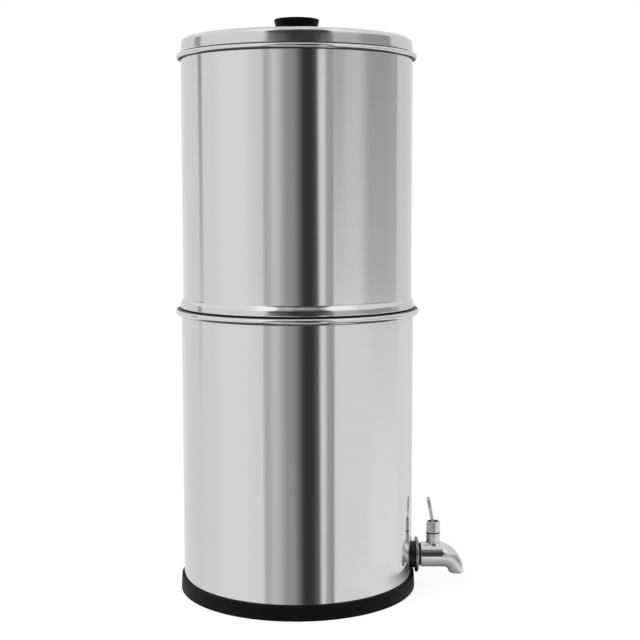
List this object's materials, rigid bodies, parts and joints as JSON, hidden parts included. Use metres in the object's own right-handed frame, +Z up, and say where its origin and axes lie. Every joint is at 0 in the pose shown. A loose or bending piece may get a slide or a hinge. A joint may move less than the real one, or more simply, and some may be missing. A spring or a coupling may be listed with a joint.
{
  "type": "gravity water filter with tap",
  "caption": "Stacked polished steel chambers with ceramic filter elements, a drawn lid with a black knob, a rubber base ring and a sprung lever tap.",
  "frame": {"origin": "centre of the base ring's underside, on the surface that the filter stands on", "axes": "+Z up along the chambers' axis, +X from that axis towards the tap, +Y to the left of someone who faces the tap's way"},
  "size_m": [0.2762, 0.2304, 0.5389],
  "materials": {
    "chamber_steel": "polished, near-mirror satin",
    "base_rubber": "matt, near black",
    "knob_plastic": "semi-gloss black",
    "screw_steel": "plain",
    "ceramic": "unglazed, off-white",
    "cap_plastic": "moulded, white",
    "washer_rubber": "matt, black",
    "tap_steel": "satin polished",
    "guide_brass": "turned",
    "spring_steel": "drawn wire"
  },
  "bodies": {
    "lower": {"base_ring": "base_rubber", "lower_chamber": "chamber_steel", "tap_body": "tap_steel", "tap_disc": "tap_steel", "tap_outer_washer": "washer_rubber", "tap_inner_washer": "washer_rubber", "tap_nut": "tap_steel", "tap_o_ring": "washer_rubber", "bonnet_cap": "tap_steel", "bonnet_gasket": "washer_rubber", "stem_guide": "guide_brass", "stem_o_ring": "washer_rubber", "valve_spring": "spring_steel"},
    "upper": {"upper_chamber": "chamber_steel", "candle_left": "ceramic", "candle_right": "ceramic", "candle_base_left": "cap_plastic", "candle_base_right": "cap_plastic", "candle_washers": "washer_rubber", "candle_wing_nuts": "cap_plastic", "blanking_plugs": "cap_plastic", "plug_washers": "washer_rubber", "plug_wing_nuts": "cap_plastic"},
    "lid": {"lid": "chamber_steel", "knob": "knob_plastic", "knob_screw": "screw_steel", "knob_washer": "screw_steel"},
    "valve": {"valve_stem": "tap_steel", "valve_seal": "washer_rubber", "lever_pin": "screw_steel"},
    "lever": {"lever": "tap_steel"}
  },
  "joints": [
    {"name": "upper_lift", "type": "slide", "parent": "lower", "child": "upper", "axis": [0, 0, 1], "range_m": [0, 0.1]},
    {"name": "lid_lift", "type": "slide", "parent": "upper", "child": "lid", "axis": [0, 0, 1], "range_m": [0, 0.05]},
    {"name": "valve_lift", "type": "slide", "parent": "lower", "child": "valve", "axis": [0, 0, 1], "range_m": [0, 0.0015], "deforming": ["valve_spring"]},
    {"name": "lever_tilt", "type": "hinge", "parent": "valve", "child": "lever", "pos_m": [0.1311, 0, 0.0572], "axis": [0, 1, 0], "range_deg": [0, 60], "stiffness_Nm_per_rad": 0.01, "springref_deg": -28.65}
  ],
  "couplings": [
    {"joint": "valve_lift", "follows": "lever_tilt", "m_per_rad": 0.0014059}
  ]
}
